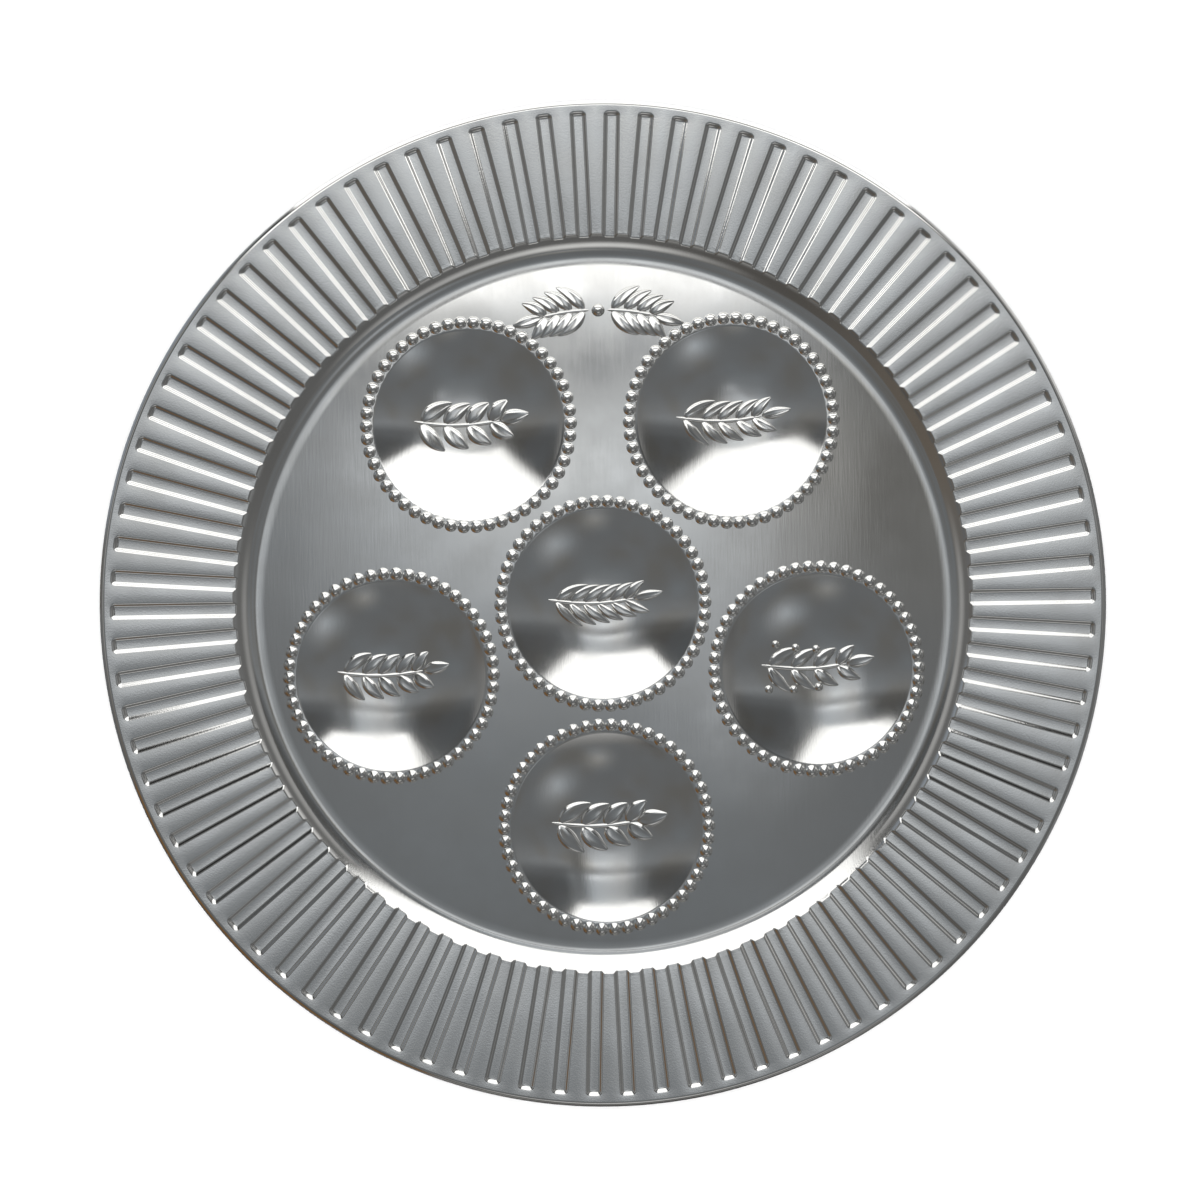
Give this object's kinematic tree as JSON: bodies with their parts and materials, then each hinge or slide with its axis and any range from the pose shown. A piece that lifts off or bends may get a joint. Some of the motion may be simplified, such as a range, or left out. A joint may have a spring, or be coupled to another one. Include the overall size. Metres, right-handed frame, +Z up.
{
  "type": "seder plate",
  "caption": "Round pressed-metal seder plate: rolled edge, sloping fluted rim, hollow wall and a flat well with beaded shallow dishes that hold the foods of the Passover meal.",
  "frame": {"origin": "the plate's centre, on the surface that the dishes' flat feet stand on", "axes": "+Z up along the plate's axis, +Y towards the edge between the egg and shank bone dishes"},
  "size_m": [0.3, 0.3, 0.0106],
  "materials": {
    "bright_plate": "bright nickel-plated steel sheet, fine rolled grain"
  },
  "bodies": {
    "root": {"rolled_edge": "bright_plate", "fluted_rim": "bright_plate", "well_wall": "bright_plate", "well_floor": "bright_plate", "bead_ring_shank_bone": "bright_plate", "bead_ring_egg": "bright_plate", "bead_ring_greens": "bright_plate", "bead_ring_lettuce": "bright_plate", "bead_ring_charoset": "bright_plate", "bead_ring_bitter_herbs": "bright_plate", "dish_shank_bone": "bright_plate", "dish_egg": "bright_plate", "dish_greens": "bright_plate", "dish_lettuce": "bright_plate", "dish_charoset": "bright_plate", "dish_bitter_herbs": "bright_plate"}
  },
  "joints": []
}
